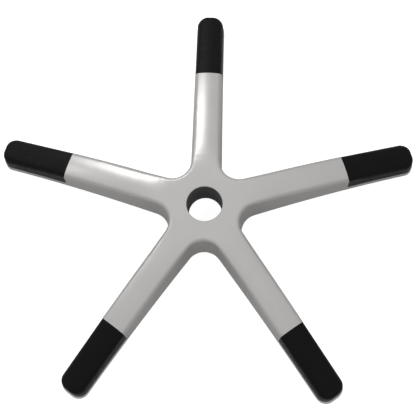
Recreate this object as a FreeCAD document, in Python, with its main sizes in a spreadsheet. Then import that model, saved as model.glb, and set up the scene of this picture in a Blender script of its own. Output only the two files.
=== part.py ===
"""Five star office chair base: one die-cast silver casting and five moulded step pads.

Lengths are in millimetres. The hub axis is Z, the hub foot is at Z = 0, and arm 1 points along +Y.
"""
import math
import os

import FreeCAD
import Part
import Sketcher

ARMS = 5
SIZES = {
    # Hub and lift socket
    "hub_height": 54.0,
    "socket_mouth_radius": 25.0,
    "socket_foot_radius": 24.0,
    "socket_land": 8.0,
    "socket_edge": 0.6,
    "tube_radius": 33.0,
    # Star outline, measured on the plane under the feet
    "foot_drop": 40.0,
    "root_half": 24.7,
    "tip_half": 21.1,
    "reach": 316.5,
    "tip_corner": 17.0,
    "crotch_radius": 26.0,
    "draft": 2.3,
    # Top face of an arm
    "blend_inset": 8.0,
    "blend_run": 23.5,
    "blend_radius": 205.0,
    "bow_radius": 830.0,
    "straight_lead": 2.0,
    "edge_radius": 7.0,
    # Foot line of an arm
    "foot_flat": 50.0,
    "foot_tip": 37.0,
    "foot_radius": 950.0,
    # Hollow underside
    "root_wall": 4.0,
    "tip_wall": 6.5,
    "ceiling": 6.0,
    "rib": 4.0,
    "rib_sink": 7.0,
    "spine_end": 199.5,
    "cross_rib_first": 92.0,
    "cross_rib_step": 53.75,
    # Step pads
    "pad_start": 207.5,
    "pad_thickness": 3.0,
    "pad_gap": 0.35,
    "pad_corner": 4.0,
    "strip": 9.0,
    "tab_width": 9.0,
    "tab_length": 4.0,
    "tab_clearance": 0.2,
    "tab_drop": 8.0,
    "tab_first": 16.0,
    # Caster sockets
    "caster_reach": 288.0,
    "boss_radius": 11.5,
    "boss_foot": 37.0,
    "caster_radius": 5.5,
    "caster_depth": 28.0,
}

# Sheet expressions for the stations along an arm's top: end of the hub's flat, of the blend and of the bow
TOP_HALF = "(sizes.root_half - (sizes.foot_drop + sizes.hub_height) * tan(sizes.draft * 1 deg))"
FLAT_END = f"((sizes.crotch_radius + {TOP_HALF}) / tan(180 deg / {ARMS}) - sizes.blend_inset)"
BLEND_END = f"({FLAT_END} + sizes.blend_run)"
BOW_END = "(sizes.pad_start - sizes.straight_lead)"

doc = FreeCAD.newDocument("star_base")
sheet = doc.addObject("Spreadsheet::Sheet", "sizes")
for row, (alias, value) in enumerate(SIZES.items(), start=1):
    sheet.set(f"A{row}", alias)
    sheet.set(f"B{row}", str(value))
    sheet.setAlias(f"B{row}", alias)
doc.recompute()


def size(alias):
    """Return one driving dimension of the sheet."""
    return float(sheet.get(alias))


def worked_out(expression):
    """Return the value of a sheet expression."""
    return float(sheet.evalExpression(expression))


def origin_plane(body, role):
    """Return an origin plane of a body by its role."""
    return next(item for item in body.Origin.OriginFeatures if item.Role == role)


def new_sketch(body, role, offset_expression=None):
    """Add a sketch on an origin plane of a body."""
    sketch = body.newObject("Sketcher::SketchObject", f"{body.Name}_sketch")
    sketch.AttachmentSupport = [(origin_plane(body, role), "")]
    sketch.MapMode = "FlatFace"
    if offset_expression:
        sketch.setExpression("AttachmentOffset.Base.z", offset_expression)
    return sketch


def bind(sketch, constraint, expression):
    """Add a constraint to a sketch and drive it from the sheet."""
    index = sketch.addConstraint(constraint)
    sketch.setExpression(f"Constraints[{index}]", expression)


def star_blank(name, side_inset, tip_inset, top_inset):
    """Return a drafted star prism; the insets are sheet expressions taken off the outer star."""
    body = doc.addObject("PartDesign::Body", name)
    sketch = new_sketch(body, "XY_Plane", "-sizes.foot_drop")
    root = size("root_half")
    tip = size("tip_half")
    reach = size("reach")
    corner = size("tip_corner") - worked_out(tip_inset)
    shoulder = reach - corner
    overlap = size("socket_foot_radius") / 2
    point = FreeCAD.Vector
    quarter = math.pi / 2
    right_circle = Part.Circle(point(tip - corner, shoulder), point(0, 0, 1), corner)
    left_circle = Part.Circle(point(corner - tip, shoulder), point(0, 0, 1), corner)
    right_arc = Part.ArcOfCircle(right_circle, 0.0, quarter)
    left_arc = Part.ArcOfCircle(left_circle, quarter, 2 * quarter)
    base_line = sketch.addGeometry(Part.LineSegment(point(-root, -overlap), point(root, -overlap)))
    right_side = sketch.addGeometry(Part.LineSegment(point(root, -overlap), point(tip, shoulder)))
    right_corner = sketch.addGeometry(right_arc)
    end_line = sketch.addGeometry(Part.LineSegment(point(tip - corner, reach), point(corner - tip, reach)))
    left_corner = sketch.addGeometry(left_arc)
    left_side = sketch.addGeometry(Part.LineSegment(point(-tip, shoulder), point(-root, -overlap)))
    rule = Sketcher.Constraint
    sketch.addConstraint(rule("Coincident", base_line, 2, right_side, 1))
    sketch.addConstraint(rule("Tangent", right_side, 2, right_corner, 1))
    sketch.addConstraint(rule("Tangent", right_corner, 2, end_line, 1))
    sketch.addConstraint(rule("Tangent", end_line, 2, left_corner, 1))
    sketch.addConstraint(rule("Tangent", left_corner, 2, left_side, 1))
    sketch.addConstraint(rule("Coincident", left_side, 2, base_line, 1))
    sketch.addConstraint(rule("Symmetric", base_line, 1, base_line, 2, -2))
    sketch.addConstraint(rule("Symmetric", right_side, 2, left_side, 1, -2))
    sketch.addConstraint(rule("Horizontal", end_line))
    half_root = f"(sizes.root_half - ({side_inset}))"
    half_tip = f"(sizes.tip_half - ({tip_inset}))"
    arm_reach = f"(sizes.reach - ({tip_inset}))"
    bind(sketch, rule("DistanceX", base_line, 1, base_line, 2, 2 * root), f"2 * {half_root}")
    bind(sketch, rule("DistanceY", base_line, 1, -1, 1, overlap), "sizes.socket_foot_radius / 2")
    bind(sketch, rule("DistanceY", -1, 1, end_line, 1, reach), arm_reach)
    bind(sketch, rule("Radius", right_corner, corner), f"sizes.tip_corner - ({tip_inset})")
    lean = math.pi / 2 + math.atan((root - tip) / reach)
    bind(sketch, rule("Angle", right_side, lean), f"90 deg + atan(({half_root} - {half_tip}) / {arm_reach})")
    pad = body.newObject("PartDesign::Pad", f"{name}_pad")
    pad.Profile = sketch
    pad.setExpression("Length", f"sizes.foot_drop + sizes.hub_height - ({top_inset})")
    body.Tip = pad
    doc.recompute()
    walls = []
    for number, face in enumerate(pad.Shape.Faces, start=1):
        if face.BoundBox.ZLength < 0.01:
            if face.CenterOfMass.z < 0:
                sole = f"Face{number}"
        elif face.CenterOfMass.y > 0:
            walls.append(f"Face{number}")
    draft = body.newObject("PartDesign::Draft", f"{name}_draft")
    draft.Base = (pad, walls)
    draft.NeutralPlane = (pad, [sole])
    draft.setExpression("Angle", "sizes.draft")
    body.Tip = draft
    doc.recompute()
    arms = [turned(body.Shape, index) for index in range(ARMS)]
    star = arms[0].fuse(arms[1:]).removeSplitter()
    rise = 0.9 * pad.Length.Value
    hub_zone = size("crotch_radius") + size("root_half")
    crotches = []
    for edge in star.Edges:
        middle = edge.CenterOfMass
        if edge.BoundBox.ZLength > rise and math.hypot(middle.x, middle.y) < hub_zone:
            crotches.append(edge)
    return star.makeFillet(size("crotch_radius") + worked_out(side_inset), crotches)


def roof_tool():
    """Build the solid above the top line of arm 1: a blend out of the hub top, a bow and a straight end."""
    body = doc.addObject("PartDesign::Body", "roof_tool")
    sketch = new_sketch(body, "YZ_Plane")
    hub = size("hub_height")
    flat = worked_out(FLAT_END)
    bend = worked_out(BLEND_END)
    straight = worked_out(BOW_END)
    outside = size("reach") + size("tip_corner")
    over = hub + size("edge_radius")
    small = size("blend_radius")
    large = size("bow_radius")
    lean, slope = roof_angles()
    point = FreeCAD.Vector
    up = math.pi / 2
    small_circle = Part.Circle(point(flat, hub - small), point(0, 0, 1), small)
    large_drop = hub - small + (small - large) * math.cos(lean)
    large_circle = Part.Circle(point(bend - large * math.sin(lean), large_drop), point(0, 0, 1), large)
    blend = sketch.addGeometry(Part.ArcOfCircle(small_circle, up - lean, up))
    bow = sketch.addGeometry(Part.ArcOfCircle(large_circle, up - slope, up - lean))
    end_start = point(straight, roof_height(straight))
    end_stop = point(outside, roof_height(outside))
    end_line = sketch.addGeometry(Part.LineSegment(end_start, end_stop))
    out_line = sketch.addGeometry(Part.LineSegment(end_stop, point(outside, over)))
    over_line = sketch.addGeometry(Part.LineSegment(point(outside, over), point(flat, over)))
    hub_line = sketch.addGeometry(Part.LineSegment(point(flat, over), point(flat, hub)))
    rule = Sketcher.Constraint
    sketch.addConstraint(rule("Tangent", blend, 1, bow, 2))
    sketch.addConstraint(rule("Tangent", bow, 1, end_line, 1))
    sketch.addConstraint(rule("Coincident", end_line, 2, out_line, 1))
    sketch.addConstraint(rule("Coincident", out_line, 2, over_line, 1))
    sketch.addConstraint(rule("Coincident", over_line, 2, hub_line, 1))
    sketch.addConstraint(rule("Coincident", hub_line, 2, blend, 2))
    sketch.addConstraint(rule("Vertical", blend, 2, blend, 3))
    sketch.addConstraint(rule("Vertical", out_line))
    sketch.addConstraint(rule("Horizontal", over_line))
    sketch.addConstraint(rule("Vertical", hub_line))
    bind(sketch, rule("DistanceX", -1, 1, hub_line, 2, flat), FLAT_END)
    bind(sketch, rule("DistanceY", -1, 1, hub_line, 2, hub), "sizes.hub_height")
    bind(sketch, rule("Radius", blend, small), "sizes.blend_radius")
    bind(sketch, rule("DistanceX", -1, 1, blend, 1, bend), BLEND_END)
    bind(sketch, rule("Radius", bow, large), "sizes.bow_radius")
    bind(sketch, rule("DistanceX", -1, 1, bow, 1, straight), BOW_END)
    bind(sketch, rule("DistanceX", -1, 1, out_line, 1, outside), "sizes.reach + sizes.tip_corner")
    bind(sketch, rule("DistanceY", -1, 1, out_line, 2, over), "sizes.hub_height + sizes.edge_radius")
    pad = body.newObject("PartDesign::Pad", "roof_tool_pad")
    pad.Profile = sketch
    pad.SideType = "Symmetric"
    pad.setExpression("Length", f"2 * {FLAT_END} * tan(180 deg / {ARMS})")
    body.Tip = pad
    doc.recompute()
    return body


def roof_angles():
    """Return the slope of an arm's top after the blend and at its straight end, in radians."""
    lean = math.asin(size("blend_run") / size("blend_radius"))
    slope = math.asin(math.sin(lean) + worked_out(f"{BOW_END} - {BLEND_END}") / size("bow_radius"))
    return lean, slope


def roof_height(along):
    """Return the height of an arm's top in its straight end."""
    lean, slope = roof_angles()
    blend_fall = size("blend_radius") * (1.0 - math.cos(lean))
    bow_fall = size("bow_radius") * (math.cos(lean) - math.cos(slope))
    return size("hub_height") - blend_fall - bow_fall - (along - worked_out(BOW_END)) * math.tan(slope)


def roof_cutters(sink):
    """Return the five solids above the arm tops, lowered by sink."""
    return [turned(raised(roof.Shape, -sink), index) for index in range(ARMS)]


def turned(shape, index):
    """Return a copy of a shape of arm 1 turned to another arm."""
    copy = shape.copy()
    copy.rotate(FreeCAD.Vector(0, 0, 0), FreeCAD.Vector(0, 0, 1), 360.0 / ARMS * index)
    return copy


def computed(name, shape):
    """Add a shape worked out from other objects of the document."""
    feature = doc.addObject("Part::Feature", name)
    feature.Shape = shape
    return feature


def faces_up(face):
    """Tell whether a face looks upwards at its middle."""
    first_u, last_u, first_v, last_v = face.ParameterRange
    return face.normalAt((first_u + last_u) / 2, (first_v + last_v) / 2).z > 0.8


def arm_sector():
    """Return the wedge of arm 1, between the middles of the crotches on its two sides."""
    point = FreeCAD.Vector
    far = size("reach") + size("tip_corner")
    aside = far * math.tan(math.pi / ARMS)
    low = -2 * size("foot_drop")
    axis = point(0, 0, low)
    plan = Part.makePolygon([axis, point(aside, far, low), point(-aside, far, low), axis])
    return Part.Face(plan).extrude(point(0, 0, 2 * size("hub_height") - low))


def rounded_star(blank):
    """Cut the arm tops of a star blank and round their rim, on one arm that is then repeated."""
    arm = blank.common(arm_sector()).cut(roof.Shape).Solids[0]
    tops = [face for face in arm.Faces if faces_up(face)]
    rim = []
    for edge in arm.Edges:
        beside = [face for face in tops if any(edge.isSame(other) for other in face.Edges)]
        middle = edge.CenterOfMass
        off_crotch = math.pi / ARMS - abs(math.atan2(middle.x, middle.y))
        if len(beside) == 1 and off_crotch > 1e-4:
            rim.append(edge)
    arm = arm.makeFillet(size("edge_radius"), rim)
    arms = [turned(arm, index) for index in range(ARMS)]
    return arms[0].fuse(arms[1:]).removeSplitter().Solids[0]


def foot_tool():
    """Build the solid below the foot line of arm 1."""
    body = doc.addObject("PartDesign::Body", "foot_tool")
    sketch = new_sketch(body, "YZ_Plane")
    flat = size("foot_flat")
    reach = size("reach")
    tip = -size("foot_tip")
    radius = size("foot_radius")
    outside = reach + size("tip_corner")
    under = -2 * size("foot_drop")
    point = FreeCAD.Vector
    chord = point(reach - flat, tip, 0)
    down = point(chord.y, -chord.x, 0).normalize()
    centre = point(flat, 0, 0) + chord * 0.5 + down * math.sqrt(radius ** 2 - chord.Length ** 2 / 4)
    first = math.atan2(tip - centre.y, reach - centre.x)
    last = math.atan2(-centre.y, flat - centre.x)
    hub_line = sketch.addGeometry(Part.LineSegment(point(0, 0), point(flat, 0)))
    arch = sketch.addGeometry(Part.ArcOfCircle(Part.Circle(centre, point(0, 0, 1), radius), first, last))
    tip_line = sketch.addGeometry(Part.LineSegment(point(reach, tip), point(outside, tip)))
    out_line = sketch.addGeometry(Part.LineSegment(point(outside, tip), point(outside, under)))
    under_line = sketch.addGeometry(Part.LineSegment(point(outside, under), point(0, under)))
    axis_line = sketch.addGeometry(Part.LineSegment(point(0, under), point(0, 0)))
    rule = Sketcher.Constraint
    sketch.addConstraint(rule("Coincident", hub_line, 1, -1, 1))
    sketch.addConstraint(rule("Coincident", hub_line, 2, arch, 2))
    sketch.addConstraint(rule("Coincident", arch, 1, tip_line, 1))
    sketch.addConstraint(rule("Coincident", tip_line, 2, out_line, 1))
    sketch.addConstraint(rule("Coincident", out_line, 2, under_line, 1))
    sketch.addConstraint(rule("Coincident", under_line, 2, axis_line, 1))
    sketch.addConstraint(rule("Coincident", axis_line, 2, hub_line, 1))
    sketch.addConstraint(rule("Horizontal", hub_line))
    sketch.addConstraint(rule("Horizontal", tip_line))
    sketch.addConstraint(rule("Vertical", out_line))
    sketch.addConstraint(rule("Horizontal", under_line))
    sketch.addConstraint(rule("Vertical", axis_line))
    bind(sketch, rule("DistanceX", hub_line, 1, hub_line, 2, flat), "sizes.foot_flat")
    bind(sketch, rule("DistanceX", -1, 1, tip_line, 1, reach), "sizes.reach")
    bind(sketch, rule("DistanceY", tip_line, 1, -1, 1, -tip), "sizes.foot_tip")
    bind(sketch, rule("DistanceX", -1, 1, out_line, 1, outside), "sizes.reach + sizes.tip_corner")
    bind(sketch, rule("DistanceY", axis_line, 1, -1, 1, -under), "2 * sizes.foot_drop")
    bind(sketch, rule("Radius", arch, radius), "sizes.foot_radius")
    pad = body.newObject("PartDesign::Pad", "foot_tool_pad")
    pad.Profile = sketch
    pad.SideType = "Symmetric"
    pad.setExpression("Length", "3 * sizes.root_half")
    body.Tip = pad
    doc.recompute()
    return body


def raised(shape, height):
    """Return a copy of a shape moved up."""
    copy = shape.copy()
    copy.translate(FreeCAD.Vector(0, 0, height))
    return copy


def box(name, length, width, height, corner):
    """Add a box whose sizes and first corner are sheet expressions."""
    block = doc.addObject("Part::Box", name)
    for key, expression in zip(("Length", "Width", "Height"), (length, width, height)):
        block.setExpression(key, expression)
    for key, expression in zip("xyz", corner):
        block.setExpression(f".Placement.Base.{key}", expression)
    return block


def cylinder(name, radius, height, along, foot):
    """Add an upright cylinder of arm 1; its sizes and its place are sheet expressions."""
    post = doc.addObject("Part::Cylinder", name)
    post.setExpression("Radius", radius)
    post.setExpression("Height", height)
    post.setExpression(".Placement.Base.y", along)
    post.setExpression(".Placement.Base.z", foot)
    return post


def cone(name, foot_radius, top_radius, height, foot):
    """Add an upright cone on the hub axis; its sizes and its place are sheet expressions."""
    taper = doc.addObject("Part::Cone", name)
    taper.setExpression("Radius1", foot_radius)
    taper.setExpression("Radius2", top_radius)
    taper.setExpression("Height", height)
    taper.setExpression(".Placement.Base.z", foot)
    return taper


def pad_zone(name, gap):
    """Return the room of a step pad on arm 1: past the seam and above the strip, its low corner rounded."""
    block = box(
        name,
        "2 * sizes.root_half",
        f"sizes.reach + sizes.tip_corner - sizes.pad_start - ({gap})",
        "sizes.foot_drop + sizes.hub_height",
        ("-sizes.root_half", f"sizes.pad_start + ({gap})", "-sizes.foot_drop"),
    )
    doc.recompute()
    seam = block.Placement.Base.y
    lift = size("strip") + seam - size("pad_start")
    shape = block.Shape.cut(raised(foot.Shape, lift)).Solids[0]
    on_seam = []
    for edge in shape.Edges:
        if abs(edge.BoundBox.YMin - seam) < 0.01 and edge.BoundBox.YLength < 0.02:
            on_seam.append(edge)
    lowest = min(on_seam, key=lambda edge: edge.CenterOfMass.z)
    return shape.makeFillet(size("pad_corner"), [lowest])


# Skins: the outside, the seat under the pads and the hollow underside
outer_blank = star_blank("outer_blank", "0", "0", "0")
seat_blank = star_blank("seat_blank", "sizes.pad_thickness", "sizes.pad_thickness", "sizes.pad_thickness")
hollow_blank = star_blank("hollow_blank", "sizes.root_wall", "sizes.tip_wall", "sizes.ceiling")
foot = foot_tool()
roof = roof_tool()
outer = computed("outer_skin", rounded_star(outer_blank))
seat = computed("pad_seat", seat_blank.cut(roof_cutters(size("pad_thickness"))).Solids[0])
hollow = computed("hollow", hollow_blank.cut(roof_cutters(size("ceiling"))).Solids[0])

# Hub tube, ribs and caster bosses inside the hollow
tube = cylinder("hub_tube", "sizes.tube_radius", "sizes.hub_height", "0", "0")
boss = cylinder(
    "caster_boss",
    "sizes.boss_radius",
    "sizes.boss_foot + sizes.hub_height",
    "sizes.caster_reach",
    "-sizes.boss_foot",
)
spine = box(
    "spine",
    "sizes.rib",
    "sizes.spine_end - sizes.tube_radius / 2",
    "sizes.foot_drop + sizes.hub_height",
    ("-sizes.rib / 2", "sizes.tube_radius / 2", "-sizes.foot_drop"),
)
cross_places = [
    "sizes.cross_rib_first",
    "sizes.cross_rib_first + sizes.cross_rib_step",
    "sizes.cross_rib_first + 2 * sizes.cross_rib_step",
    "sizes.caster_reach",
]
webs = [spine]
for number, place in enumerate(cross_places, start=1):
    webs.append(
        box(
            f"cross_rib_{number}",
            "2 * sizes.root_half",
            "sizes.rib",
            "sizes.foot_drop + sizes.hub_height",
            ("-sizes.root_half", f"{place} - sizes.rib / 2", "-sizes.foot_drop"),
        )
    )
doc.recompute()
web_shape = webs[0].Shape.fuse([web.Shape for web in webs[1:]]).cut(raised(foot.Shape, size("rib_sink")))
arm_fittings = web_shape.fuse(boss.Shape)
fittings = tube.Shape.fuse([turned(arm_fittings, index) for index in range(ARMS)])
voids = computed("underside_voids", hollow.Shape.cut(fittings))

# Lift socket: a plain land at the foot, the taper above it and a broken edge at the mouth
land = cylinder(
    "socket_land_cut",
    "sizes.socket_foot_radius",
    "sizes.socket_land + sizes.foot_drop",
    "0",
    "-sizes.foot_drop",
)
taper = cone(
    "socket_taper_cut",
    "sizes.socket_foot_radius",
    "sizes.socket_mouth_radius",
    "sizes.hub_height - sizes.socket_land",
    "sizes.socket_land",
)
mouth = cone(
    "socket_mouth_cut",
    "sizes.socket_mouth_radius",
    "sizes.socket_mouth_radius + 2 * sizes.socket_edge",
    "2 * sizes.socket_edge",
    "sizes.hub_height - sizes.socket_edge",
)
caster = cylinder(
    "caster_socket_cut",
    "sizes.caster_radius",
    "sizes.caster_depth",
    "sizes.caster_reach",
    "-sizes.boss_foot",
)

# Snap tabs of a pad and their slots in the casting: one near the seam, one midway from it to the caster boss
first_tab = "(sizes.pad_start + sizes.tab_first)"
second_tab = f"(({first_tab} + sizes.caster_reach - sizes.boss_radius) / 2)"
tabs = []
tab_slots = []
for number, along in enumerate((first_tab, second_tab), start=1):
    roof_here = roof_height(worked_out(along))
    foot_here = f"{roof_here} - sizes.ceiling - sizes.tab_drop"
    for name, clearance, made in (("tab", "0", tabs), ("tab_slot", "sizes.tab_clearance", tab_slots)):
        made.append(
            box(
                f"{name}_{number}",
                f"sizes.tab_width + 2 * {clearance}",
                f"sizes.tab_length + 2 * {clearance}",
                "sizes.tab_drop + sizes.ceiling - sizes.pad_thickness / 2",
                (f"-sizes.tab_width / 2 - {clearance}", f"{along} - {clearance}", foot_here),
            )
        )
doc.recompute()

# The casting
room = pad_zone("pad_room", "0").cut(seat.Shape)
under = foot.Shape.cut(boss.Shape)
arm_cuts = [room, under, caster.Shape] + [slot.Shape for slot in tab_slots]
cuts = [land.Shape, taper.Shape, mouth.Shape, voids.Shape]
for index in range(ARMS):
    cuts.extend(turned(cut, index) for cut in arm_cuts)
casting = outer.Shape.cut(cuts)
nodes = {"base_casting": casting.Solids[0]}

# The pads
pad = outer.Shape.common(pad_zone("pad_outside", "sizes.pad_gap")).cut(seat.Shape)
pad = pad.fuse([tab.Shape for tab in tabs]).removeSplitter().Solids[0]
for index in range(ARMS):
    nodes[f"step_pad_{index + 1}"] = turned(pad, index)

os.makedirs("parts", exist_ok=True)
for name, shape in nodes.items():
    node = computed(name, shape)
    node.Label = name
doc.recompute()
for item in doc.Objects:
    if "Invalid" in item.State or "Error" in item.State:
        raise RuntimeError(f"{item.Name} is {item.State}")
    if hasattr(item, "Shape") and (item.Shape.isNull() or not item.Shape.isValid()):
        raise RuntimeError(f"{item.Name} has no sound shape")
for name in nodes:
    node = doc.getObject(name)
    node.Shape.exportStep(f"parts/{name}.step")
    print(name, node.Shape.ShapeType, len(node.Shape.Solids), round(node.Shape.Volume), node.Shape.BoundBox)
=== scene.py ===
"""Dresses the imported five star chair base: painted casting, grained step pads, studio and camera."""

import logging
import math
from collections.abc import Iterable
from dataclasses import dataclass, field
from enum import Enum

import bmesh
import bpy
import numpy as np
from mathutils import Matrix, Vector

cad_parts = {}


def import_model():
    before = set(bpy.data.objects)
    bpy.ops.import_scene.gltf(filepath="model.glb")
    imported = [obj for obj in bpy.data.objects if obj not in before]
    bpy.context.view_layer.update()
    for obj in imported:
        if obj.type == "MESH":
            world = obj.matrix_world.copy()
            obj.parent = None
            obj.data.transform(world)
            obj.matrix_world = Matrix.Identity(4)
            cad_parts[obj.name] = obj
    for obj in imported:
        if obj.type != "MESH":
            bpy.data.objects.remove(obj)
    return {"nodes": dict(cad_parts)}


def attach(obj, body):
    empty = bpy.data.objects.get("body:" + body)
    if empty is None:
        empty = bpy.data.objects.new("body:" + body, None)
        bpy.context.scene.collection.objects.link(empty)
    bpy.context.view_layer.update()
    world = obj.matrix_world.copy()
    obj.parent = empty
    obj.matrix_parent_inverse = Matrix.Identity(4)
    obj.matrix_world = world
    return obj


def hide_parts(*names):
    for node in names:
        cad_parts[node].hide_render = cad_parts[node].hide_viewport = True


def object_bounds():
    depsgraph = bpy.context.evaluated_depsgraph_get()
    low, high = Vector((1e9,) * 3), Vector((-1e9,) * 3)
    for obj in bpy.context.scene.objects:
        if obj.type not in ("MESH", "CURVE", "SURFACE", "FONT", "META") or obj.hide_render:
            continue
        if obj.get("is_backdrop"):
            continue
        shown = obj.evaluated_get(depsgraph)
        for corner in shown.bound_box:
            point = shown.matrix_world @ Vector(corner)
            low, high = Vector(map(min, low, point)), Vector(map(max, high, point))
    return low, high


LOG = logging.getLogger("chair_base")
BODY = "root"
MM = 0.001
ARM_COUNT = 5
ARM_STEP = 2.0 * math.pi / ARM_COUNT
FIRST_ARM = 0.5 * math.pi
IMAGE_WIDTH = 420.0
MERGE_DISTANCE = 0.002 * MM
CUT_SLACK = 0.02 * MM
SEAM_PLACE = 207.5 * MM
CREASE = math.radians(32.0)

Colour = tuple[float, float, float, float]
Socket = bpy.types.NodeSocket


class Slot(Enum):
    """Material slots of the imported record."""

    SILVER = "silver_casting"
    PAD = "black_pad"


class Zone(Enum):
    """Places of the casting that carry their own finish, in the order of its material slots."""

    SKIN = 0
    SOCKET = 1
    UNDERSIDE = 2


class Place(Enum):
    """Coordinates that a finish follows, by their names in the shader."""

    FRAME = "Object"
    ARM = "UV"


class NodeSheet:
    """A short way to lay out one node tree.

    Attributes:
        tree: The node tree to fill.
    """

    def __init__(self, tree: bpy.types.NodeTree) -> None:
        """Keep the tree.

        Args:
            tree: The node tree to fill.
        """
        self.tree = tree

    def add(self, kind: str, **settings: object) -> bpy.types.Node:
        """Add a node.

        Args:
            kind: Blender's name of the node type.
            **settings: Properties of the node.

        Returns:
            The new node.
        """
        node = self.tree.nodes.new(kind)
        for name, value in settings.items():
            setattr(node, name, value)
        return node

    def join(self, source: Socket, target: Socket) -> None:
        """Link an output to an input."""
        self.tree.links.new(source, target)

    def math(self, operation: str, first: Socket | float, second: Socket | float = 0.0) -> Socket:
        """Add a Math node.

        Args:
            operation: The node's operation.
            first: The first socket or number.
            second: The second socket or number.

        Returns:
            The node's result.
        """
        node = self.add("ShaderNodeMath", operation=operation)
        for target, value in zip(node.inputs, (first, second)):
            if isinstance(value, Socket):
                self.join(value, target)
            else:
                target.default_value = value
        return node.outputs[0]

    def spread(self, value: Socket, low: float, high: float) -> Socket:
        """Map a value between 0 and 1 to a range.

        Args:
            value: The socket to map.
            low: The result at 0.
            high: The result at 1.

        Returns:
            The mapped value.
        """
        node = self.add("ShaderNodeMapRange")
        node.inputs["To Min"].default_value = low
        node.inputs["To Max"].default_value = high
        self.join(value, node.inputs["Value"])
        return node.outputs["Result"]

    def mix(self, factor: Socket, low: Colour, high: Colour) -> Socket:
        """Mix two colours.

        Args:
            factor: The share of the second colour.
            low: The colour at 0.
            high: The colour at 1.

        Returns:
            The mixed colour.
        """
        node = self.add("ShaderNodeMix", data_type="RGBA")
        colour_inputs = [item for item in node.inputs if item.type == "RGBA"]
        colour_inputs[0].default_value = low
        colour_inputs[1].default_value = high
        self.join(factor, node.inputs["Factor"])
        return next(item for item in node.outputs if item.type == "RGBA")


class GrainGroup:
    """The shader group that paint, casting skin and pads share: fine grain over slow mottling.

    Attributes:
        NAME: The group's name.
        GRAIN_DETAIL: Octaves of the fine grain.
        MOTTLE_DETAIL: Octaves of the mottling.
    """

    NAME = "fine_grain"
    GRAIN_DETAIL = 2.0
    MOTTLE_DETAIL = 3.0

    @classmethod
    def tree(cls) -> bpy.types.NodeTree:
        """Return the group, made at its first use.

        Returns:
            The shader node group.
        """
        found = bpy.data.node_groups.get(cls.NAME)
        if found:
            return found
        tree = bpy.data.node_groups.new(cls.NAME, "ShaderNodeTree")
        face = tree.interface
        face.new_socket(name="Place", in_out="INPUT", socket_type="NodeSocketVector")
        for name in ("Grain Scale", "Mottle Scale", "Mottle Share"):
            face.new_socket(name=name, in_out="INPUT", socket_type="NodeSocketFloat")
        face.new_socket(name="Blend", in_out="OUTPUT", socket_type="NodeSocketFloat")
        sheet = NodeSheet(tree)
        entry = sheet.add("NodeGroupInput")
        leave = sheet.add("NodeGroupOutput")
        grain = sheet.add("ShaderNodeTexNoise")
        grain.inputs["Detail"].default_value = cls.GRAIN_DETAIL
        mottle = sheet.add("ShaderNodeTexNoise")
        mottle.inputs["Detail"].default_value = cls.MOTTLE_DETAIL
        for noise, scale in ((grain, "Grain Scale"), (mottle, "Mottle Scale")):
            sheet.join(entry.outputs["Place"], noise.inputs["Vector"])
            sheet.join(entry.outputs[scale], noise.inputs["Scale"])
        blend = sheet.add("ShaderNodeMix", data_type="FLOAT")
        sheet.join(entry.outputs["Mottle Share"], blend.inputs["Factor"])
        sheet.join(grain.outputs["Fac"], blend.inputs["A"])
        sheet.join(mottle.outputs["Fac"], blend.inputs["B"])
        sheet.join(blend.outputs["Result"], leave.inputs["Blend"])
        return tree


@dataclass(frozen=True)
class GrainedFinish:
    """A finish whose colour, gloss and relief follow fine grain and slow mottling.

    Attributes:
        name: The material's name.
        dark: Base colour at the grain's low end.
        light: Base colour at the grain's high end.
        metallic: Share of metal in the surface.
        rough_low: Roughness at the grain's low end.
        rough_high: Roughness at the grain's high end.
        grain_scale: Grains in a metre.
        mottle_scale: Mottles in a metre.
        mottle_share: Share of the mottling in the blend with the grain.
        relief: Height of the grain in metres.
        specular: Specular level.
        sheen: Weight of the pale haze that shows where the surface turns away.
        sheen_rough: Roughness of that haze.
        place: The coordinates that the grain follows.
        stretch: What the coordinates are multiplied by, which draws the grain out where it is below 1.
    """

    name: str
    dark: Colour
    light: Colour
    metallic: float
    rough_low: float
    rough_high: float
    grain_scale: float
    mottle_scale: float
    mottle_share: float
    relief: float
    specular: float = 0.5
    sheen: float = 0.0
    sheen_rough: float = 0.4
    place: Place = Place.FRAME
    stretch: tuple[float, float, float] = (1.0, 1.0, 1.0)

    def make(self) -> bpy.types.Material:
        """Build the material.

        Returns:
            The material.
        """
        material = bpy.data.materials.new(self.name)
        material.use_nodes = True
        sheet = NodeSheet(material.node_tree)
        shader = material.node_tree.nodes["Principled BSDF"]
        shader.inputs["Metallic"].default_value = self.metallic
        shader.inputs["Specular IOR Level"].default_value = self.specular
        shader.inputs["Sheen Weight"].default_value = self.sheen
        shader.inputs["Sheen Roughness"].default_value = self.sheen_rough
        place = sheet.add("ShaderNodeTexCoord")
        stretch = sheet.add("ShaderNodeVectorMath", operation="MULTIPLY")
        stretch.inputs[1].default_value = self.stretch
        sheet.join(place.outputs[self.place.value], stretch.inputs[0])
        grain = sheet.add("ShaderNodeGroup", node_tree=GrainGroup.tree())
        sheet.join(stretch.outputs[0], grain.inputs["Place"])
        grain.inputs["Grain Scale"].default_value = self.grain_scale
        grain.inputs["Mottle Scale"].default_value = self.mottle_scale
        grain.inputs["Mottle Share"].default_value = self.mottle_share
        blend = grain.outputs["Blend"]
        sheet.join(sheet.mix(blend, self.dark, self.light), shader.inputs["Base Color"])
        sheet.join(sheet.spread(blend, self.rough_low, self.rough_high), shader.inputs["Roughness"])
        bump = sheet.add("ShaderNodeBump")
        bump.inputs["Strength"].default_value = 1.0
        bump.inputs["Distance"].default_value = self.relief
        sheet.join(blend, bump.inputs["Height"])
        sheet.join(bump.outputs["Normal"], shader.inputs["Normal"])
        return material


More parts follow.
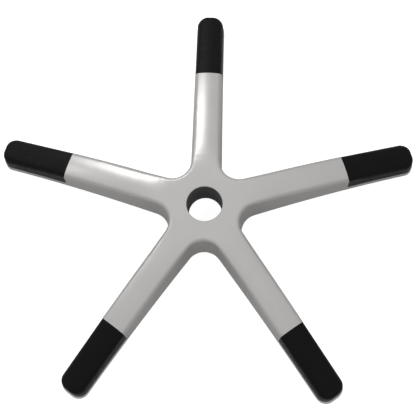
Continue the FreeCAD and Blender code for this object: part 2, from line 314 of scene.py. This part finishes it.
SILVER_PAINT = GrainedFinish(
    name="satin_silver_paint",
    dark=(0.405, 0.395, 0.3855, 1.0),
    light=(0.53, 0.517, 0.505, 1.0),
    metallic=0.5,
    rough_low=0.3,
    rough_high=0.38,
    grain_scale=1800.0,
    mottle_scale=26.0,
    mottle_share=0.35,
    relief=0.012 * MM,
)
RAW_CASTING = GrainedFinish(
    name="thin_overspray",
    dark=(0.26, 0.258, 0.25, 1.0),
    light=(0.38, 0.375, 0.36, 1.0),
    metallic=0.45,
    rough_low=0.5,
    rough_high=0.68,
    grain_scale=900.0,
    mottle_scale=30.0,
    mottle_share=0.5,
    relief=0.05 * MM,
)
DARK_SOCKET = GrainedFinish(
    name="dark_socket_wall",
    dark=(0.035, 0.035, 0.0355, 1.0),
    light=(0.15, 0.149, 0.15, 1.0),
    metallic=0.3,
    rough_low=0.35,
    rough_high=0.6,
    grain_scale=260.0,
    mottle_scale=60.0,
    mottle_share=0.4,
    relief=0.06 * MM,
    stretch=(0.25, 0.25, 3.0),
)
BLACK_PAD = GrainedFinish(
    name="grained_black_pad",
    dark=(0.0, 0.0, 0.0, 1.0),
    light=(0.0022, 0.0022, 0.0022, 1.0),
    metallic=0.0,
    rough_low=0.12,
    rough_high=0.74,
    grain_scale=650.0,
    mottle_scale=130.0,
    mottle_share=0.65,
    relief=0.8 * MM,
    specular=0.115,
    sheen=0.008,
    place=Place.ARM,
    stretch=(1.0, 0.4, 1.0),
)


@dataclass(frozen=True)
class RoofLine:
    """The line of an arm's top: hub flat, blend, long bow and straight end, as the solid has it.

    Attributes:
        hub_height: Height of the hub's top.
        flat_end: Where the hub's flat ends along the arm.
        blend_end: Where the blend meets the bow.
        bow_end: Where the bow meets the straight end.
        blend_radius: Radius of the blend.
        bow_radius: Radius of the bow.
    """

    hub_height: float = 54.0 * MM
    flat_end: float = 56.587 * MM
    blend_end: float = 80.087 * MM
    bow_end: float = 205.5 * MM
    blend_radius: float = 205.0 * MM
    bow_radius: float = 830.0 * MM

    def height(self, along: np.ndarray) -> np.ndarray:
        """Give the top's height.

        Args:
            along: Distances from the hub axis along the arm.

        Returns:
            The heights.
        """
        lean = math.asin((self.blend_end - self.flat_end) / self.blend_radius)
        bow_centre = self.blend_end - self.bow_radius * math.sin(lean)
        hub_level = self.hub_height - self.blend_radius
        bow_level = hub_level + (self.blend_radius - self.bow_radius) * math.cos(lean)
        slope = math.asin((self.bow_end - bow_centre) / self.bow_radius)
        on_blend = np.clip(along, self.flat_end, self.blend_end) - self.flat_end
        on_bow = np.clip(along, self.blend_end, self.bow_end) - bow_centre
        blend = hub_level + np.sqrt(self.blend_radius**2 - on_blend**2)
        bow = bow_level + np.sqrt(self.bow_radius**2 - on_bow**2)
        straight = np.maximum(along - self.bow_end, 0.0) * math.tan(slope)
        return np.where(along < self.blend_end, blend, bow) - straight

    def upward(self, points: np.ndarray) -> np.ndarray:
        """Give the direction that stands off the top over or under each point.

        Args:
            points: Rows of x, y and z.

        Returns:
            Unit rows of x, y and z.
        """
        number, along, _ = arm_places(points)
        step = 0.5 * MM
        slope = (self.height(along + step) - self.height(along - step)) / (2.0 * step)
        turn = FIRST_ARM + number * ARM_STEP
        rows = np.stack([-slope * np.cos(turn), -slope * np.sin(turn), np.ones_like(slope)], axis=1)
        return rows / np.linalg.norm(rows, axis=1)[:, None]

    def depth(self, points: np.ndarray) -> np.ndarray:
        """Give how deep each point lies under the top, square to it.

        Args:
            points: Rows of x, y and z.

        Returns:
            The depths.
        """
        _, along, _ = arm_places(points)
        return (self.height(along) - points[:, 2]) * self.upward(points)[:, 2]


def smooth(value: np.ndarray, start: float, stop: float) -> np.ndarray:
    """Ease from 0 at start to 1 at stop.

    Args:
        value: The values to ease.
        start: Where the result leaves 0.
        stop: Where the result reaches 1.

    Returns:
        The eased values.
    """
    share = np.clip((value - start) / (stop - start), 0.0, 1.0)
    return share * share * (3.0 - 2.0 * share)


def arm_places(points: np.ndarray) -> tuple[np.ndarray, np.ndarray, np.ndarray]:
    """Give each point's place on its nearest arm.

    Args:
        points: Rows of x, y and z.

    Returns:
        The arm's number, the distance along it and the distance across it.
    """
    angle = np.arctan2(points[:, 1], points[:, 0]) - FIRST_ARM
    number = np.round(angle / ARM_STEP)
    local = angle - number * ARM_STEP
    radius = np.hypot(points[:, 0], points[:, 1])
    return number.astype(int) % ARM_COUNT, radius * np.cos(local), radius * np.sin(local)


def point_rows(verts: Iterable[bmesh.types.BMVert | bpy.types.MeshVertex]) -> np.ndarray:
    """Gather the places of points.

    Args:
        verts: The points.

    Returns:
        Rows of x, y and z.
    """
    return np.array([vert.co[:] for vert in verts])


def face_rows(mesh: bmesh.types.BMesh) -> tuple[np.ndarray, np.ndarray]:
    """Gather the middles and the normals of all faces.

    Args:
        mesh: The merged copy of a solid.

    Returns:
        Rows of x, y and z for the middles, and the same for the normals.
    """
    mesh.normal_update()
    middles = np.array([face.calc_center_median()[:] for face in mesh.faces])
    normals = np.array([face.normal[:] for face in mesh.faces])
    return middles, normals


def dot_rows(first: np.ndarray, second: np.ndarray) -> np.ndarray:
    """Give the dot product of each pair of rows."""
    return np.einsum("ij,ij->i", first, second)


@dataclass(frozen=True)
class TightRim:
    """The rounded rim between tops and walls: tighter than the solid's fillet, and rounder at the tips.

    Attributes:
        roof: The line of the tops.
        solid_radius: Radius of the solid's fillet.
        radius: Radius that the rim gets.
        tip_radius: Radius that it gets at the tips, over the pads.
        tip_start: Where the radius starts to grow along the arm.
        tip_full: Where the tip's radius is reached.
        slack: How far a face of the fillet may lean from its place on the arc, in radians.
        least_turn: Least turn from the top at which a face counts as rim, in radians.
        hub_flat: Radius of the hub's middle, which has no rim.
        reach: Where the work ends along the arm.
    """

    roof: RoofLine = RoofLine()
    solid_radius: float = 7.0 * MM
    radius: float = 5.4 * MM
    tip_radius: float = 8.5 * MM
    tip_start: float = 280.0 * MM
    tip_full: float = 312.0 * MM
    slack: float = math.radians(14.0)
    least_turn: float = math.radians(1.75)
    hub_flat: float = 40.0 * MM
    reach: float = 400.0 * MM

    def turned(self, depth: np.ndarray) -> np.ndarray:
        """Give how far the fillet has turned from the top at each depth.

        Args:
            depth: Depths under the top.

        Returns:
            Angles in radians.
        """
        return np.arccos(np.clip(1.0 - depth / self.solid_radius, 0.0, 1.0))

    def tighten(self, mesh: bmesh.types.BMesh) -> None:
        """Move the fillet's points to the rim's own radius.

        Args:
            mesh: The merged copy of a solid.
        """
        middles, normals = face_rows(mesh)
        upward = self.roof.upward(middles)
        rise = dot_rows(normals, upward)
        depth = self.roof.depth(middles)
        lean = np.abs(np.arccos(np.clip(rise, -1.0, 1.0)) - self.turned(depth))
        rim = (depth > 0.0) & (depth < self.solid_radius)
        rim &= (lean < self.slack) & (rise < math.cos(self.least_turn))
        _, along, _ = arm_places(middles)
        rim &= (np.hypot(middles[:, 0], middles[:, 1]) > self.hub_flat) & (along < self.reach)
        outward = normals - rise[:, None] * upward
        sides: dict[bmesh.types.BMVert, Vector] = {}
        for face, row, good in zip(mesh.faces, outward, rim):
            for vert in face.verts if good else ():
                sides[vert] = sides.get(vert, Vector()) + Vector(row).normalized() * face.calc_area()
        points = point_rows(sides)
        angles = self.turned(self.roof.depth(points))
        _, along, _ = arm_places(points)
        radius = self.radius + (self.tip_radius - self.radius) * smooth(along, self.tip_start, self.tip_full)
        gains = (self.solid_radius - radius).tolist()
        for (vert, side), angle, row, gain in zip(sides.items(), angles, self.roof.upward(points), gains):
            lift = Vector(row) * (1.0 - math.cos(angle))
            vert.co += gain * (lift + side.normalized() * (1.0 - math.sin(angle)))


@dataclass(frozen=True)
class ArmCrown:
    """The crown across the arm tops, which fall away from the arm's middle line.

    Attributes:
        roof: The line of the tops.
        fall: How far the top falls at its side edges.
        half_width: Half the arm's width, where the fall is full.
        start: Where the crown starts along the arm.
        full: Where it is full.
        shallow: Depth under the top that still falls in full.
        deep: Depth under the top that doesn't fall.
        widest: Share of the half width past which the fall grows no more.
        cut_half: Distance of the outermost cuts from the arm's middle line.
        cut_across: Spacing of the cuts that follow the arm.
        cut_along: Spacing of the cuts across the arm.
        top_band: How far a face of the tops may lie from their line.
        top_tilt: How far such a face may lean from the line, in radians.
        top_reach: Where the cuts across the arm end.
    """

    roof: RoofLine = RoofLine()
    fall: float = 4.0 * MM
    half_width: float = 20.0 * MM
    start: float = 46.0 * MM
    full: float = 98.0 * MM
    shallow: float = 8.0 * MM
    deep: float = 26.0 * MM
    widest: float = 1.1
    cut_half: float = 17.5 * MM
    cut_across: float = 3.5 * MM
    cut_along: float = 9.0 * MM
    top_band: float = 0.5 * MM
    top_tilt: float = math.radians(3.0)
    top_reach: float = 320.0 * MM

    def top_faces(self, mesh: bmesh.types.BMesh) -> list[bmesh.types.BMFace]:
        """Find the faces of the arm tops.

        Args:
            mesh: The merged copy of a solid.

        Returns:
            The faces that lie in the tops.
        """
        middles, normals = face_rows(mesh)
        near = np.abs(self.roof.depth(middles)) < self.top_band
        level = dot_rows(normals, self.roof.upward(middles)) > math.cos(self.top_tilt)
        return [face for face, good in zip(mesh.faces, near & level) if good]

    def grid(self, mesh: bmesh.types.BMesh) -> None:
        """Cut the arm tops into a grid and set it on the true line of the tops.

        Args:
            mesh: The merged copy of a solid.
        """
        tops = self.top_faces(mesh)
        numbers, _, _ = arm_places(np.array([face.calc_center_median()[:] for face in tops]))
        for number in range(ARM_COUNT):
            faces = [face for face, own in zip(tops, numbers) if own == number]
            if faces:
                self.cut_arm(mesh, faces, number)
        verts = list(dict.fromkeys(vert for face in self.top_faces(mesh) for vert in face.verts))
        _, along, _ = arm_places(point_rows(verts))
        for vert, level in zip(verts, self.roof.height(along)):
            vert.co.z = level

    def cut_arm(self, mesh: bmesh.types.BMesh, faces: list[bmesh.types.BMFace], number: int) -> None:
        """Cut the top of one arm.

        Args:
            mesh: The merged copy of a solid.
            faces: The faces of that arm's top.
            number: The arm's number.
        """
        turn = FIRST_ARM + number * ARM_STEP
        ahead = Vector((math.cos(turn), math.sin(turn), 0.0))
        aside = Vector((-ahead.y, ahead.x, 0.0))
        past_last = self.cut_half + 0.5 * self.cut_across
        cuts = [(aside * place, aside) for place in np.arange(-self.cut_half, past_last, self.cut_across)]
        cuts += [(ahead * place, ahead) for place in np.arange(self.start, self.top_reach, self.cut_along)]
        geometry = list(dict.fromkeys(item for face in faces for item in (face, *face.edges, *face.verts)))
        for place, normal in cuts:
            plane = {"plane_co": place, "plane_no": normal, "dist": CUT_SLACK}
            geometry = bmesh.ops.bisect_plane(mesh, geom=geometry, **plane)["geom"]

    def drop(self, points: np.ndarray) -> np.ndarray:
        """Give how far each point falls.

        Args:
            points: Rows of x, y and z.

        Returns:
            The falls.
        """
        _, along, across = arm_places(points)
        depth = self.roof.height(along) - points[:, 2]
        share = smooth(along, self.start, self.full) * (1.0 - smooth(depth, self.shallow, self.deep))
        return self.fall * share * np.minimum(np.abs(across) / self.half_width, self.widest) ** 2

    def settle(self, mesh: bmesh.types.BMesh) -> None:
        """Lower the points of a copied solid to the crown.

        Args:
            mesh: The merged copy of a solid.
        """
        for vert, fall in zip(mesh.verts, self.drop(point_rows(mesh.verts))):
            vert.co.z -= fall


def merged_copy(node: bpy.types.Object) -> bmesh.types.BMesh:
    """Copy a solid's mesh with its loose triangles merged.

    Args:
        node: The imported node's object.

    Returns:
        The merged mesh.
    """
    mesh = bmesh.new()
    mesh.from_mesh(node.data)
    bmesh.ops.remove_doubles(mesh, verts=mesh.verts, dist=MERGE_DISTANCE)
    return mesh


def finished_mesh(name: str, mesh: bmesh.types.BMesh) -> bpy.types.Mesh:
    """Turn a worked copy into a mesh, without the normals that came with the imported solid.

    Args:
        name: The mesh's name.
        mesh: The worked copy, which is freed.

    Returns:
        The mesh.
    """
    skin = bpy.data.meshes.new(name)
    mesh.to_mesh(skin)
    mesh.free()
    skin.attributes.remove(skin.attributes["custom_normal"])
    return skin


def add_object(name: str, mesh: bpy.types.Mesh) -> bpy.types.Object:
    """Put a mesh in the scene as an object at the origin.

    Args:
        name: The object's name.
        mesh: The object's mesh.

    Returns:
        The object.
    """
    piece = bpy.data.objects.new(name, mesh)
    bpy.context.scene.collection.objects.link(piece)
    return piece


def bake(piece: bpy.types.Object) -> None:
    """Turn a piece and its modifiers into a plain mesh.

    Args:
        piece: The piece to bake.
    """
    graph = bpy.context.evaluated_depsgraph_get()
    mesh = bpy.data.meshes.new_from_object(piece.evaluated_get(graph), depsgraph=graph)
    mesh.name = piece.name
    piece.modifiers.clear()
    piece.data = mesh


def shade_even(piece: bpy.types.Object, crease: float) -> None:
    """Shade a piece smooth between creases, with broad faces kept flat.

    Args:
        piece: The piece to shade.
        crease: The angle from which an edge stays sharp, in radians.
    """
    piece.data.shade_smooth()
    piece.data.set_sharp_from_angle(angle=crease)
    even = piece.modifiers.new("even_shading", "WEIGHTED_NORMAL")
    even.keep_sharp = True
    bake(piece)


@dataclass
class Casting:
    """The painted die-cast star with its lift socket.

    Attributes:
        node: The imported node's object.
        rim: The rim along the upper edge, as far as the pads.
        crown: The crown of the arm tops.
        socket_radius: Radius inside which a face belongs to the lift socket.
        lip_height: Height of the socket's mouth edge, above which the hub is painted.
        outward_tilt: Least upward lean of a painted face.
        crease: The angle from which an edge stays sharp, in radians.
        piece: The casting, once it is built.
    """

    node: bpy.types.Object
    rim: TightRim = TightRim(reach=SEAM_PLACE)
    crown: ArmCrown = ArmCrown()
    socket_radius: float = 25.4 * MM
    lip_height: float = 53.4 * MM
    outward_tilt: float = 0.015
    crease: float = CREASE
    piece: bpy.types.Object | None = field(default=None, init=False)

    def build(self) -> bpy.types.Object:
        """Make the casting's skin from its solid.

        Returns:
            The casting.
        """
        mesh = merged_copy(self.node)
        self.rim.tighten(mesh)
        self.crown.grid(mesh)
        self.crown.settle(mesh)
        for face in mesh.faces:
            face.material_index = self.zone(face).value
        self.piece = add_object("painted_casting", finished_mesh("painted_casting", mesh))
        return self.piece

    def zone(self, face: bmesh.types.BMFace) -> Zone:
        """Say which finish a face carries.

        Args:
            face: A face of the merged copy.

        Returns:
            The face's zone.
        """
        middle = face.calc_center_median()
        if math.hypot(middle.x, middle.y) < self.socket_radius and middle.z < self.lip_height:
            return Zone.SOCKET
        return Zone.SKIN if face.normal.z > self.outward_tilt else Zone.UNDERSIDE

    def dress(self) -> None:
        """Give the casting its finishes and its place in the frame."""
        for finish in (SILVER_PAINT, DARK_SOCKET, RAW_CASTING):
            self.piece.data.materials.append(finish.make())
        shade_even(self.piece, self.crease)
        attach(self.piece, BODY)
        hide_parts(self.node.name)


class RingTree:
    """The geometry nodes that repeat one arm's piece round the hub axis.

    Attributes:
        NAME: The name of the tree and of the modifier.
        tree: The node tree.
        count: Identifier of the input for the number of arms.
        finish: Identifier of the input for the material.
    """

    NAME = "repeat_round_hub"

    def __init__(self) -> None:
        """Build the tree with its named inputs."""
        tree = bpy.data.node_groups.new(self.NAME, "GeometryNodeTree")
        face = tree.interface
        face.new_socket(name="Geometry", in_out="INPUT", socket_type="NodeSocketGeometry")
        arms = face.new_socket(name="Arms", in_out="INPUT", socket_type="NodeSocketInt")
        finish = face.new_socket(name="Finish", in_out="INPUT", socket_type="NodeSocketMaterial")
        self.count = arms.identifier
        self.finish = finish.identifier
        face.new_socket(name="Geometry", in_out="OUTPUT", socket_type="NodeSocketGeometry")
        sheet = NodeSheet(tree)
        entry = sheet.add("NodeGroupInput")
        leave = sheet.add("NodeGroupOutput")
        points = sheet.add("GeometryNodePoints")
        index = sheet.add("GeometryNodeInputIndex")
        turn = sheet.math("DIVIDE", 2.0 * math.pi, entry.outputs["Arms"])
        turn = sheet.math("MULTIPLY", index.outputs[0], turn)
        spin = sheet.add("ShaderNodeCombineXYZ")
        ring = sheet.add("GeometryNodeInstanceOnPoints")
        real = sheet.add("GeometryNodeRealizeInstances")
        paint = sheet.add("GeometryNodeSetMaterial")
        sheet.join(entry.outputs["Arms"], points.inputs["Count"])
        sheet.join(turn, spin.inputs["Z"])
        sheet.join(points.outputs[0], ring.inputs["Points"])
        sheet.join(entry.outputs["Geometry"], ring.inputs["Instance"])
        sheet.join(spin.outputs[0], ring.inputs["Rotation"])
        sheet.join(ring.outputs[0], real.inputs[0])
        sheet.join(real.outputs[0], paint.inputs["Geometry"])
        sheet.join(entry.outputs["Finish"], paint.inputs["Material"])
        sheet.join(paint.outputs[0], leave.inputs[0])
        self.tree = tree

    def apply(self, piece: bpy.types.Object, finish: bpy.types.Material) -> None:
        """Repeat a piece round the hub and bake it.

        Args:
            piece: The piece of one arm.
            finish: The material of every copy.
        """
        repeat = piece.modifiers.new(self.NAME, "NODES")
        repeat.node_group = self.tree
        repeat[self.count] = ARM_COUNT
        repeat[self.finish] = finish
        bake(piece)


@dataclass(frozen=True)
class PadInset:
    """How far the pad's outer walls stand back from the casting, so that its ledge shows round them.

    Attributes:
        roof: The line of the tops.
        side: Inset at the long sides.
        tip: Inset at the tip.
        half_width: Half the width at the foot of the pad.
        end: Where the pad ends along the arm.
        corner: Radius of the tip's corners.
        wall: Depth behind the outline that still belongs to the outer wall.
        skin: Depth under the top that belongs to the outer skin.
        least_lean: Least lean toward the tip, and upward, of a face of the outer skin.
    """

    roof: RoofLine = RoofLine()
    side: float = 0.4 * MM
    tip: float = 2.5 * MM
    half_width: float = 20.7 * MM
    end: float = 316.5 * MM
    corner: float = 17.0 * MM
    wall: float = 2.4 * MM
    skin: float = 2.9 * MM
    least_lean: float = -0.5

    def behind(self, points: np.ndarray) -> np.ndarray:
        """Give how far each point lies behind the outline of the tip.

        Args:
            points: Rows of x, y and z on the first arm.

        Returns:
            The distances.
        """
        across = np.abs(points[:, 0]) - (self.half_width - self.corner)
        ahead = points[:, 1] - (self.end - self.corner)
        rounded = np.hypot(np.maximum(across, 0.0), np.maximum(ahead, 0.0))
        return self.corner - rounded - np.minimum(np.maximum(across, ahead), 0.0)

    def draw_in(self, mesh: bmesh.types.BMesh) -> None:
        """Move the outer walls inward.

        Args:
            mesh: The merged copy of the first arm's pad.
        """
        middles, normals = face_rows(mesh)
        upward = self.roof.upward(middles)
        rise = dot_rows(normals, upward)
        leans = normals - rise[:, None] * upward
        heart = np.array([0.0, self.end - self.corner, 0.0])
        outer = dot_rows(leans[:, :2], (middles - heart)[:, :2]) > 0.0
        outer &= (self.behind(middles) < self.wall) | (self.roof.depth(middles) < self.skin)
        outer &= (leans[:, 1] > self.least_lean) & (rise > self.least_lean)
        moves: dict[bmesh.types.BMVert, np.ndarray] = {}
        for face, lean, good in zip(mesh.faces, leans, outer):
            for vert in face.verts if good else ():
                weighed = np.append(lean, 1.0) * face.calc_area()
                moves[vert] = moves.get(vert, 0.0) + weighed
        for vert, weighed in moves.items():
            lean = weighed[:3] / weighed[3]
            share = max(lean[1], 0.0) ** 2
            vert.co -= Vector(lean * (self.side + (self.tip - self.side) * share))


@dataclass
class StepPads:
    """The five moulded pads that cap the arm tips.

    Attributes:
        nodes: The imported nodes' objects, arm 1 first.
        rim: The rim along the upper edge.
        crown: The crown of the arm tops.
        inset: How far the walls stand back.
        crease: The angle from which an edge stays sharp, in radians.
        piece: The pads, once they are built.
    """

    nodes: list[bpy.types.Object]
    rim: TightRim = TightRim()
    crown: ArmCrown = ArmCrown()
    inset: PadInset = PadInset()
    crease: float = CREASE
    piece: bpy.types.Object | None = field(default=None, init=False)

    def build(self) -> bpy.types.Object:
        """Make one pad from its solid.

        Returns:
            The pad of arm 1.
        """
        mesh = merged_copy(self.nodes[0])
        self.rim.tighten(mesh)
        self.crown.grid(mesh)
        self.inset.draw_in(mesh)
        self.crown.settle(mesh)
        self.piece = add_object("step_pads", finished_mesh("step_pads", mesh))
        self.unfold()
        return self.piece

    def unfold(self) -> None:
        """Give the pad its own coordinates in metres: along the arm, and the sum of across and height."""
        mesh = self.piece.data
        points = point_rows(mesh.vertices)
        _, along, across = arm_places(points)
        round_arm = across + points[:, 2]
        layer = mesh.uv_layers.new(name="along_and_across")
        for loop, place in zip(mesh.loops, layer.data):
            place.uv = (along[loop.vertex_index], round_arm[loop.vertex_index])

    def dress(self) -> None:
        """Repeat the pad on every arm, in its finish, and give the pads their place in the frame."""
        RingTree().apply(self.piece, BLACK_PAD.make())
        shade_even(self.piece, self.crease)
        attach(self.piece, BODY)
        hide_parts(*[node.name for node in self.nodes])


@dataclass(frozen=True)
class SoftBox:
    """A soft studio light.

    Attributes:
        name: The light's name.
        direction: Direction from the hub to the light.
        distance: Distance from the hub.
        size: Side of the square light.
        power: Power in watts.
    """

    name: str
    direction: tuple[float, float, float]
    distance: float
    size: float
    power: float

    def place(self) -> None:
        """Put the light in the scene, facing the hub."""
        lamp = bpy.data.lights.new(self.name, "AREA")
        lamp.shape = "SQUARE"
        lamp.size = self.size
        lamp.energy = self.power
        holder = bpy.data.objects.new(self.name, lamp)
        toward = Vector(self.direction).normalized()
        holder.location = toward * self.distance
        holder.rotation_euler = toward.to_track_quat("Z", "Y").to_euler()
        bpy.context.scene.collection.objects.link(holder)


@dataclass(frozen=True)
class Viewpoint:
    """The camera, placed as the photograph was taken.

    Attributes:
        target: The point that the camera is turned round.
        distance: Distance from that point.
        elevation: Height above the horizon in degrees.
        azimuth: Turn about the vertical in degrees.
        roll: Turn about the line of sight in degrees.
        focal: Focal length in pixels of the photograph's frame.
        sensor: Width of the camera's sensor in millimetres.
        nearest: Distance before which nothing is drawn.
        farthest: Distance past which nothing is drawn.
    """

    target: tuple[float, float, float] = (7.89 * MM, -9.06 * MM, 54.0 * MM)
    distance: float = 1363.97 * MM
    elevation: float = 73.98
    azimuth: float = 6.07
    roll: float = -4.95
    focal: float = 988.77
    sensor: float = 36.0
    nearest: float = 0.05
    farthest: float = 50.0

    def place(self) -> None:
        """Make the camera and let the scene use it."""
        turn, rise, roll = (math.radians(value) for value in (self.azimuth, self.elevation, self.roll))
        back = Vector((math.sin(turn) * math.cos(rise), -math.cos(turn) * math.cos(rise), math.sin(rise)))
        right = Vector((math.cos(turn), math.sin(turn), 0.0))
        up = right.cross(-back)
        across = right * math.cos(roll) + up * math.sin(roll)
        upward = up * math.cos(roll) - right * math.sin(roll)
        lens = bpy.data.cameras.new("photo_camera")
        lens.sensor_width = self.sensor
        lens.lens = self.focal / IMAGE_WIDTH * self.sensor
        lens.clip_start = self.nearest
        lens.clip_end = self.farthest
        holder = bpy.data.objects.new("photo_camera", lens)
        eye = Vector(self.target) + back * self.distance
        holder.matrix_world = Matrix.Translation(eye) @ Matrix((across, upward, back)).transposed().to_4x4()
        bpy.context.scene.collection.objects.link(holder)
        bpy.context.scene.camera = holder


@dataclass(frozen=True)
class Studio:
    """The pale floor, the soft lights and the even surround.

    Attributes:
        floor_level: Height of the floor.
        floor_side: Side of the square floor.
        floor_grey: Base colour of the floor.
        floor_rough: Roughness of the floor.
        floor_specular: Specular level of the floor.
        floor_glow: Light that the floor shows the camera, which keeps it pale under the arms.
        white: The backdrop's colour, and the colour of the floor's glow.
        dome: Brightness of the surround over the height of the direction, from the horizon to the top.
        lights: The soft lights.
    """

    floor_level: float
    floor_side: float = 9.0
    floor_grey: Colour = (0.56, 0.56, 0.56, 1.0)
    floor_rough: float = 0.9
    floor_specular: float = 0.1
    floor_glow: float = 0.85
    white: Colour = (1.0, 1.0, 1.0, 1.0)
    dome: tuple[tuple[float, float], ...] = ((0.0, 0.42), (0.12, 0.47), (0.4, 0.78), (0.8, 0.86), (1.0, 1.0))
    lights: tuple[SoftBox, ...] = (
        SoftBox("key_back_left", direction=(-0.30, 0.67, 0.68), distance=2.2, size=0.7, power=9.9),
        SoftBox("fill_left", direction=(-0.74, 0.30, 0.60), distance=2.2, size=0.6, power=3.0),
    )

    def build(self) -> None:
        """Make the floor, the lights and the surround."""
        self.lay_floor()
        for light in self.lights:
            light.place()
        self.hang_dome()
        bpy.context.scene.view_settings.view_transform = "Standard"

    def hang_dome(self) -> None:
        """Make the surround, a soft dome, bright overhead and dim at the horizon, with a white backdrop."""
        world = bpy.data.worlds.new("soft_dome")
        world.use_nodes = True
        sheet = NodeSheet(world.node_tree)
        place = sheet.add("ShaderNodeTexCoord")
        split = sheet.add("ShaderNodeSeparateXYZ")
        fade = sheet.add("ShaderNodeValToRGB")
        sheet.join(place.outputs["Generated"], split.inputs[0])
        sheet.join(split.outputs["Z"], fade.inputs["Fac"])
        seen = sheet.add("ShaderNodeLightPath")
        backdrop = sheet.add("ShaderNodeMix", data_type="RGBA")
        sheet.join(seen.outputs["Is Camera Ray"], backdrop.inputs["Factor"])
        colours = [item for item in backdrop.inputs if item.type == "RGBA"]
        colours[1].default_value = self.white
        sheet.join(fade.outputs["Color"], colours[0])
        shown = next(item for item in backdrop.outputs if item.type == "RGBA")
        sheet.join(shown, world.node_tree.nodes["Background"].inputs["Color"])
        steps = fade.color_ramp.elements
        for height, _ in self.dome[1:-1]:
            steps.new(height)
        for step, (height, brightness) in zip(steps, self.dome):
            step.position = height
            step.color = (brightness, brightness, brightness, 1.0)
        bpy.context.scene.world = world

    def lay_floor(self) -> None:
        """Lay the pale floor under the base."""
        half = self.floor_side / 2.0
        corners = [(-half, -half), (half, -half), (half, half), (-half, half)]
        mesh = bpy.data.meshes.new("pale_floor")
        mesh.from_pydata([(x, y, self.floor_level) for x, y in corners], [], [(0, 1, 2, 3)])
        material = bpy.data.materials.new("pale_floor")
        material.use_nodes = True
        shader = material.node_tree.nodes["Principled BSDF"]
        shader.inputs["Base Color"].default_value = self.floor_grey
        shader.inputs["Roughness"].default_value = self.floor_rough
        shader.inputs["Specular IOR Level"].default_value = self.floor_specular
        shader.inputs["Emission Color"].default_value = self.white
        sheet = NodeSheet(material.node_tree)
        seen = sheet.add("ShaderNodeLightPath")
        glow = sheet.math("MULTIPLY", seen.outputs["Is Camera Ray"], self.floor_glow)
        sheet.join(glow, shader.inputs["Emission Strength"])
        mesh.materials.append(material)
        add_object("pale_floor", mesh)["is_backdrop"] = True


def main() -> None:
    """Load the frame, build and dress each piece, and set up the studio and the camera."""
    logging.basicConfig(level=logging.INFO, format="%(name)s: %(message)s")
    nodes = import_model()["nodes"]
    solid_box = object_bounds()
    pads = [nodes[f"step_pad_{number}"] for number in range(1, ARM_COUNT + 1)]
    for part in (Casting(nodes["base_casting"]), StepPads(pads)):
        piece = part.build()
        part.dress()
        LOG.info("%s has %d faces", piece.name, len(piece.data.polygons))
    Studio(floor_level=solid_box[0].z).build()
    Viewpoint().place()


if __name__ == "__main__":
    main()
